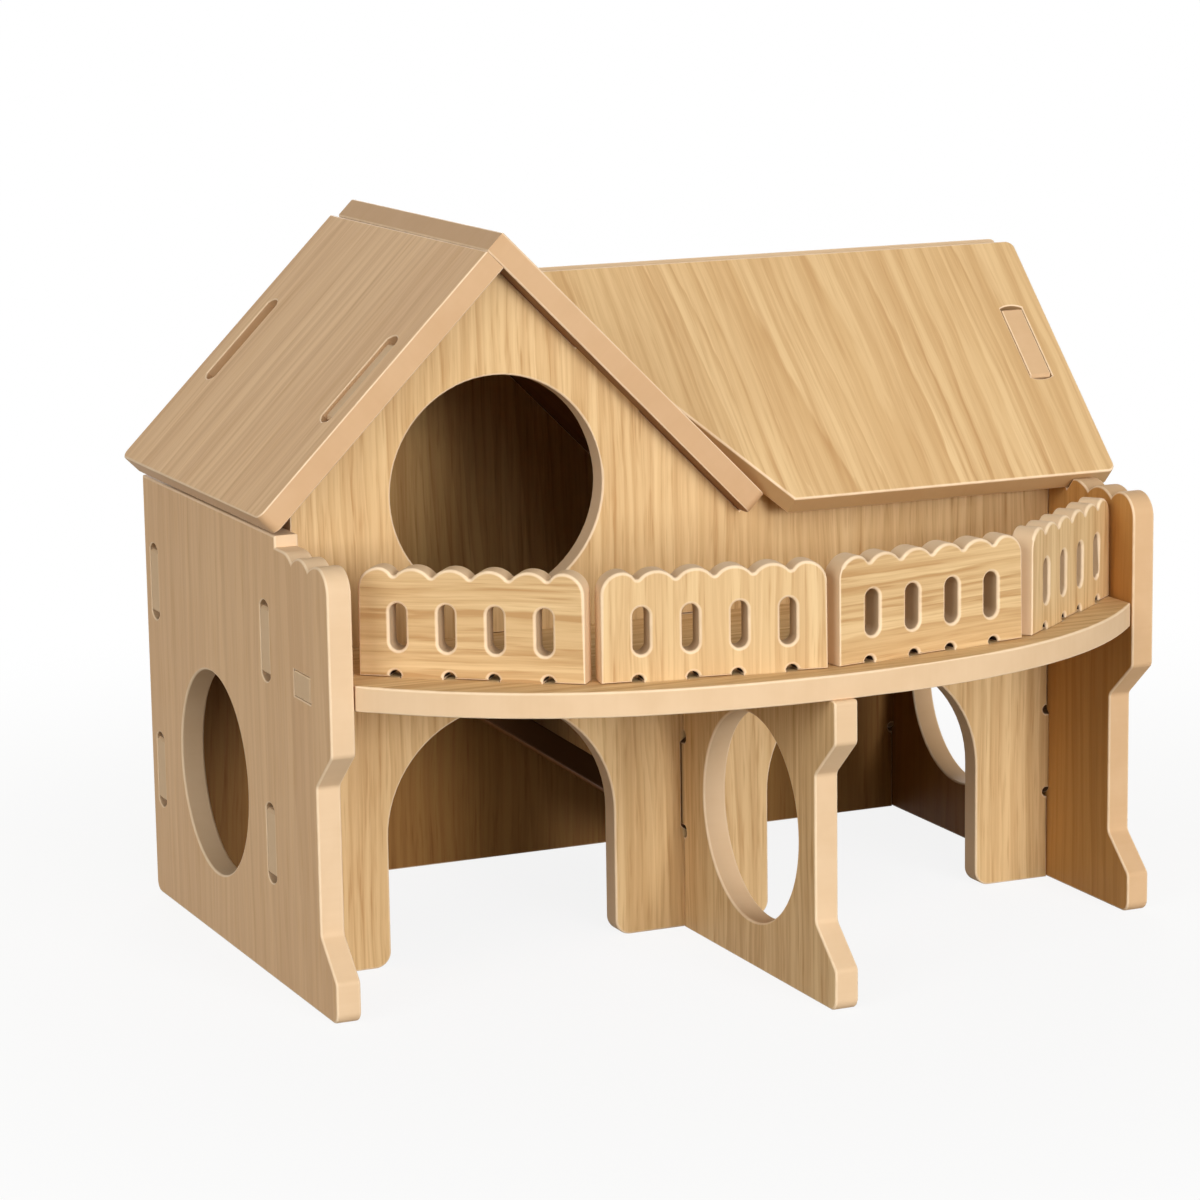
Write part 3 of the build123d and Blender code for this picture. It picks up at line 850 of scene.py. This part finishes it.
class HamsterHouseVeneer(bpy.types.PropertyGroup):
    """Colours of the veneer and its cut edges, and of the painted shade and painted highlight laid
    on them.
    """

    pale: colour_setting("Pale streaks", "Lightest streaks of the veneer", linear(236, 201, 151))
    mid: colour_setting("Main veneer", "Main colour of the veneer", linear(219, 180, 129))
    deep: colour_setting("Deep streaks", "Darkest streaks of the veneer", linear(198, 154, 103))
    cut_edge: colour_setting("Cut edges", "Sanded edges of the boards", linear(227, 197, 161))
    # Painted shade for the walls of slots, small reliefs, windows and holes
    recess_shade: colour_setting(
        "Painted recess shade",
        "Painted shade on the walls of slots and small reliefs",
        linear(44, 22, 9),
    )
    # Painted highlight on the rounded arrises
    arris_highlight: colour_setting("Arris highlight", "Rounded arrises, painted pale as a highlight", linear(250, 225, 192))
    right_panel_edge: colour_setting(
        "Right panel edges", "Sanded edges of the right side panel", linear(219, 183, 143)
    )
    gable_roof_edge: colour_setting(
        "Gable roof edges", "Sanded edges of the gable roof boards", linear(209, 172, 132)
    )
    # Edge colour of the main roof, made darker and more yellow as painted shade
    main_roof_shaded_edge: colour_setting(
        "Main roof shaded edges", "Sanded edges of the main roof boards", linear(196, 160, 114)
    )
    # Painted shade on the ramp's edges and arrises
    ramp_shaded_edge: colour_setting(
        "Ramp shaded edges", "Edges and arrises of the ramp, as dark as its faces", linear(90, 58, 30)
    )
    wall_tone: colour_setting(
        "Wall tone",
        "Multiplies the veneer colours on the walls, the divider and the balcony",
        (0.95, 0.97, 0.96, 1.0),
    )
    left_panel_tone: colour_setting(
        "Left panel tone",
        "Multiplies the veneer colours on the left side panel",
        (0.9, 0.83, 0.79, 1.0),
        top=2,
    )
    # Painted shade: a darker, warmer tint for the right panel's shaded inner face
    right_panel_shade: colour_setting(
        "Right panel shade",
        "Multiplies the veneer colours on the right side panel",
        (0.84, 0.76, 0.62, 1.0),
    )
    # Painted shade on the faces inside the house
    inner_shade: colour_setting(
        "Inner shade",
        "Multiplies the veneer colours on the faces inside the house",
        (0.86, 0.73, 0.54, 1.0),
    )
    # Painted shade in the lower storey
    lower_storey_shade: colour_setting(
        "Lower storey shade",
        "Multiplies the inner faces once more below the upper floor",
        (0.5, 0.41, 0.28, 1.0),
    )
    # Painted shade on the upper floor and the ramp
    inside_shade: colour_setting(
        "Inside shade",
        "Multiplies the veneer colours on the upper floor and the ramp",
        (0.45, 0.34, 0.24, 1.0),
    )
    # Painted shade on the undersides of the roof boards
    under_roof_shade: colour_setting(
        "Under roof shade",
        "Multiplies the veneer colours under the roof boards",
        (0.28, 0.17, 0.09, 1.0),
    )
    gable_roof_tone: colour_setting(
        "Gable roof tone",
        "Multiplies the veneer colours on the gable roof",
        (0.98, 0.94, 0.96, 1.0),
        top=2,
    )
    main_roof_tone: colour_setting(
        "Main roof tone", "Multiplies the veneer colours on the main roof", (0.93, 0.94, 0.93, 1.0)
    )
    railing_tone: colour_setting(
        "Railing tone", "Multiplies the veneer colours on the railings", (0.9, 0.92, 0.91, 1.0)
    )


class HamsterHouseStage(bpy.types.PropertyGroup):
    """Light, floor and lens."""

    lens: bpy.props.FloatProperty(
        name="Lens",
        description="Focal length of the camera in millimetres",
        default=118.553,
        min=20,
        max=400,
        unit="CAMERA",
    )
    daylight: colour_setting(
        "Room light", "Even light from all sides", (0.215, 0.2, 0.168, 1.0), top=3
    )
    front_light: power_setting("Front light", "Power of the low lamp in front", 36.5)
    high_light: power_setting("High light", "Power of the high lamp in front", 19.5)
    left_light: power_setting("Left light", "Power of the lamp on the left", 27.5)
    back_light: power_setting("Back light", "Power of the lamp behind on the right", 26.0)
    floor: colour_setting("Floor", "Colour of the floor as it is seen", (0.9, 0.9, 0.9, 1.0))
    floor_bounce: colour_setting(
        "Floor bounce",
        "Colour of the floor for the light that it sends up",
        (0.36, 0.33, 0.28, 1.0),
    )
    floor_white: bpy.props.FloatProperty(
        name="Floor white",
        description="Share of plain white in the floor as it is seen",
        default=0.88,
        min=0,
        max=1,
        subtype="FACTOR",
    )
    floor_reach: bpy.props.FloatProperty(
        name="Floor reach",
        description="Distance from the middle at which the floor has faded to white",
        default=0.32,
        min=0.1,
        max=5,
        unit="LENGTH",
        subtype="DISTANCE",
    )


# Operators


class HAMSTERHOUSE_OT_side_panels(bpy.types.Operator):
    """Finishes the two side panels, with upright grain"""

    bl_idname = "hamster_house.side_panels"
    bl_label = "Side panels"

    def execute(self, context):
        for side in ("left", "right"):
            finish = veneer(f"{side}_panel_veneer")
            place_board(f"{side}_side_panel", UP, finish, slot_shade=PANEL_SLOT_SHADE)
        return {"FINISHED"}


class HAMSTERHOUSE_OT_walls(bpy.types.Operator):
    """Finishes the front wall and the back wall, with upright grain"""

    bl_idname = "hamster_house.walls"
    bl_label = "Front and back walls"

    def execute(self, context):
        for name in ("front_wall", "back_wall"):
            place_board(name, UP, veneer("wall_veneer"))
        return {"FINISHED"}


class HAMSTERHOUSE_OT_porch(bpy.types.Operator):
    """Finishes the balcony floor and the divider under it"""

    bl_idname = "hamster_house.porch"
    bl_label = "Balcony and divider"

    def execute(self, context):
        place_board("porch_divider", UP, veneer("wall_veneer"), walled=False)
        place_board("balcony_floor", ACROSS, veneer("wall_veneer"), walled=False)
        return {"FINISHED"}


class HAMSTERHOUSE_OT_railings(bpy.types.Operator):
    """Finishes the four railings, the first and third with level grain and the others upright"""

    bl_idname = "hamster_house.railings"
    bl_label = "Railings"

    def execute(self, context):
        radius = context.scene.hamster_house_boards.railing_arris_radius
        for number, grain in ((1, ACROSS), (2, UP), (3, ACROSS), (4, UP)):
            finish = veneer("bold_railing_veneer" if grain == ACROSS else "plain_railing_veneer")
            place_board(
                f"railing_{number}", grain, finish, radius, slotted=False, walled=False
            )
        return {"FINISHED"}


class HAMSTERHOUSE_OT_gable_roof(bpy.types.Operator):
    """Finishes the two boards of the gable roof, with the grain running down the slope"""

    bl_idname = "hamster_house.gable_roof"
    bl_label = "Gable roof"

    def execute(self, context):
        for name in ("gable_roof_left", "gable_roof_right"):
            place_board(name, UP, veneer("gable_roof_veneer"), slot_shade=GABLE_ROOF_SLOT_SHADE)
        return {"FINISHED"}


class HAMSTERHOUSE_OT_main_roof(bpy.types.Operator):
    """Finishes the two boards of the main roof, with the grain running down the slope"""

    bl_idname = "hamster_house.main_roof"
    bl_label = "Main roof"

    def execute(self, context):
        for name, finish in (
            ("main_roof_front", "main_roof_veneer"),
            ("main_roof_back", "back_roof_veneer"),
        ):
            place_board(name, UP, veneer(finish), slot_shade=MAIN_ROOF_SLOT_SHADE)
        return {"FINISHED"}


class HAMSTERHOUSE_OT_inside(bpy.types.Operator):
    """Finishes the upper floor and the ramp"""

    bl_idname = "hamster_house.inside"
    bl_label = "Upper floor and ramp"

    def execute(self, context):
        for name, finish in (("upper_floor", "inside_veneer"), ("ramp", "ramp_veneer")):
            place_board(name, ACROSS, veneer(finish), walled=False, inside=True)
        return {"FINISHED"}


# The camera's turn, drop and roll, its aim's shift sideways and up, and its place
CAMERA_ANGLES = (23.873, 11.109, -0.885)
CAMERA_SHIFT = (0.00063, 0.00011)
CAMERA_PLACE = (-0.31104, -0.66739, 0.20659)

# Each lamp's name, place and side, and the setting that holds its power
LAMPS = (
    ("front_lamp", (0.42, -2.4, 0.28), 0.9, "front_light"),
    ("high_lamp", (0.1, -2.1, 1.1), 1.6, "high_light"),
    ("left_lamp", (-2.2, -1.2, 0.9), 1.4, "left_light"),
    ("back_lamp", (0.9, 2.3, 0.9), 1.4, "back_light"),
)
LAMP_AIM = (0, 0, 0.05)

FLOOR_RINGS = 8
FLOOR_SPOKES = 64
FLOOR_RADIUS = 6.0
FLOOR_FADE_START = 0.3


def add_camera(lens):
    """A camera left of the front, a little above the roof."""
    turn, drop, roll = (math.radians(angle) for angle in CAMERA_ANGLES)
    ahead = Vector(
        (math.sin(turn) * math.cos(drop), math.cos(turn) * math.cos(drop), -math.sin(drop))
    )
    level = Vector((math.cos(turn), -math.sin(turn), 0))
    above = level.cross(ahead)
    right = math.cos(roll) * level + math.sin(roll) * above
    above = math.cos(roll) * above - math.sin(roll) * level
    ahead = (ahead + CAMERA_SHIFT[0] * right + CAMERA_SHIFT[1] * above).normalized()
    right = (right - right.dot(ahead) * ahead).normalized()
    above = right.cross(ahead)
    camera = bpy.data.objects.new("camera", bpy.data.cameras.new("camera"))
    bpy.context.scene.collection.objects.link(camera)
    rows = [(right[k], above[k], -ahead[k], CAMERA_PLACE[k]) for k in range(3)]
    camera.matrix_world = Matrix(rows + [(0, 0, 0, 1)])
    camera.data.sensor_width = 36
    camera.data.lens = lens
    camera.data.clip_start = 0.02
    camera.data.clip_end = 20
    bpy.context.scene.camera = camera


def add_lamp(name, place, side, power):
    """A square lamp at place that faces the house."""
    data = bpy.data.lights.new(name, "AREA")
    data.shape = "SQUARE"
    data.size = side
    data.energy = power
    lamp = bpy.data.objects.new(name, data)
    bpy.context.scene.collection.objects.link(lamp)
    lamp.location = place
    lamp.rotation_mode = "QUATERNION"
    lamp.rotation_quaternion = (Vector(LAMP_AIM) - Vector(place)).to_track_quat("-Z", "Y")


def seen_directly(tree):
    """1 for what is seen, straight, mirrored or through glass, and 0 for light on the object."""
    path = tree.nodes.new("ShaderNodeLightPath")
    first = maths(tree, "MAXIMUM", path.outputs["Is Camera Ray"], path.outputs["Is Glossy Ray"])
    return maths(tree, "MAXIMUM", first, path.outputs["Is Transmission Ray"])


def add_world(daylight):
    """Even light from all sides, and plain white where it is seen."""
    world = bpy.data.worlds.new("studio")
    bpy.context.scene.world = world
    world.use_nodes = True
    tree = world.node_tree
    tree.nodes.clear()
    out = tree.nodes.new("ShaderNodeOutputWorld")
    light, white = tree.nodes.new("ShaderNodeBackground"), tree.nodes.new("ShaderNodeBackground")
    light.inputs["Color"].default_value = daylight
    white.inputs["Color"].default_value = WHITE
    mix = tree.nodes.new("ShaderNodeMixShader")
    tree.links.new(seen_directly(tree), mix.inputs[0])
    tree.links.new(light.outputs[0], mix.inputs[1])
    tree.links.new(white.outputs[0], mix.inputs[2])
    tree.links.new(mix.outputs[0], out.inputs["Surface"])


def floor_material(colour, bounce, white_share, reach):
    """A matt floor that is mostly white where it is seen, and wholly from reach outwards."""
    material = bpy.data.materials.new("studio_floor")
    material.use_nodes = True
    tree = material.node_tree
    tree.nodes.clear()
    out = tree.nodes.new("ShaderNodeOutputMaterial")
    matt = tree.nodes.new("ShaderNodeBsdfDiffuse")
    seen = seen_directly(tree)
    tree.links.new(mix_colour(tree, seen, bounce, colour), matt.inputs["Color"])
    white = tree.nodes.new("ShaderNodeEmission")
    white.inputs["Color"].default_value = WHITE
    place = tree.nodes.new("ShaderNodeTexCoord").outputs["Object"]
    length = tree.nodes.new("ShaderNodeVectorMath")
    length.operation = "LENGTH"
    tree.links.new(place, length.inputs[0])
    fade = spread(tree, length.outputs["Value"], FLOOR_FADE_START * reach, reach)
    share = blend_values(tree, (fade, 1.0 - white_share))
    share = maths(tree, "MULTIPLY", maths(tree, "ADD", share, white_share), seen)
    mix = tree.nodes.new("ShaderNodeMixShader")
    tree.links.new(share, mix.inputs[0])
    tree.links.new(matt.outputs[0], mix.inputs[1])
    tree.links.new(white.outputs[0], mix.inputs[2])
    tree.links.new(mix.outputs[0], out.inputs["Surface"])
    return material


def add_floor(colour, bounce, white_share, reach):
    """A round floor: each point is the ring's radius times (cos, sin) of the spoke.

    The radius grows with the square of the ring's number."""
    rings = np.linspace(0, 1, FLOOR_RINGS + 1)[1:, None] ** 2 * FLOOR_RADIUS
    spokes = np.linspace(0, 2 * math.pi, FLOOR_SPOKES + 1)[:-1]
    x, y = rings * np.cos(spokes), rings * np.sin(spokes)
    points = np.concatenate(([(0, 0, 0)], np.stack((x, y, 0 * x), axis=-1).reshape(-1, 3)))
    here = np.arange(FLOOR_SPOKES)
    ahead = (here + 1) % FLOOR_SPOKES
    centre = np.stack((0 * here, 1 + here, 1 + ahead), axis=1)
    row = (np.arange(FLOOR_RINGS - 1) * FLOOR_SPOKES + 1)[:, None]
    outer = row + FLOOR_SPOKES
    quads = np.stack((row + here, outer + here, outer + ahead, row + ahead), axis=-1)
    mesh = bpy.data.meshes.new("floor")
    mesh.from_pydata(points.tolist(), [], centre.tolist() + quads.reshape(-1, 4).tolist())
    mesh.materials.append(floor_material(colour, bounce, white_share, reach))
    floor = bpy.data.objects.new("floor", mesh)
    bpy.context.scene.collection.objects.link(floor)


class HAMSTERHOUSE_OT_stage(bpy.types.Operator):
    """Adds the floor, the soft lights and the camera"""

    bl_idname = "hamster_house.stage"
    bl_label = "Studio"

    def execute(self, context):
        stage = context.scene.hamster_house_stage
        context.scene.view_settings.view_transform = "Standard"
        add_camera(stage.lens)
        add_world(tuple(stage.daylight))
        for name, place, side, setting in LAMPS:
            add_lamp(name, place, side, getattr(stage, setting))
        add_floor(
            tuple(stage.floor), tuple(stage.floor_bounce), stage.floor_white, stage.floor_reach
        )
        return {"FINISHED"}


class HAMSTERHOUSE_PT_panel(bpy.types.Panel):
    """Steps and settings of the hamster house"""

    bl_idname = "HAMSTERHOUSE_PT_panel"
    bl_label = "Hamster House"
    bl_space_type = "VIEW_3D"
    bl_region_type = "UI"
    bl_category = "Hamster House"

    def draw(self, context):
        for step in STEPS:
            self.layout.operator(step.bl_idname)
        for label, settings in (
            ("Boards", context.scene.hamster_house_boards),
            ("Veneer", context.scene.hamster_house_veneer),
            ("Studio", context.scene.hamster_house_stage),
        ):
            box = self.layout.box()
            box.label(text=label)
            for key in settings.bl_rna.properties.keys():
                if key not in {"rna_type", "name"}:
                    box.prop(settings, key)


STEPS = (
    HAMSTERHOUSE_OT_side_panels,
    HAMSTERHOUSE_OT_walls,
    HAMSTERHOUSE_OT_porch,
    HAMSTERHOUSE_OT_railings,
    HAMSTERHOUSE_OT_gable_roof,
    HAMSTERHOUSE_OT_main_roof,
    HAMSTERHOUSE_OT_inside,
    HAMSTERHOUSE_OT_stage,
)
SETTINGS = (HamsterHouseBoards, HamsterHouseVeneer, HamsterHouseStage)
CLASSES = SETTINGS + STEPS + (HAMSTERHOUSE_PT_panel,)


def register():
    for one in CLASSES:
        bpy.utils.register_class(one)
    bpy.types.Scene.hamster_house_boards = bpy.props.PointerProperty(type=HamsterHouseBoards)
    bpy.types.Scene.hamster_house_veneer = bpy.props.PointerProperty(type=HamsterHouseVeneer)
    bpy.types.Scene.hamster_house_stage = bpy.props.PointerProperty(type=HamsterHouseStage)


def unregister():
    del bpy.types.Scene.hamster_house_stage
    del bpy.types.Scene.hamster_house_veneer
    del bpy.types.Scene.hamster_house_boards
    for one in reversed(CLASSES):
        bpy.utils.unregister_class(one)


def main():
    """Runs every step."""
    register()
    bpy.ops.hamster_house.side_panels()
    bpy.ops.hamster_house.walls()
    bpy.ops.hamster_house.porch()
    bpy.ops.hamster_house.railings()
    bpy.ops.hamster_house.gable_roof()
    bpy.ops.hamster_house.main_roof()
    bpy.ops.hamster_house.inside()
    bpy.ops.hamster_house.stage()


if __name__ == "__main__":
    main()
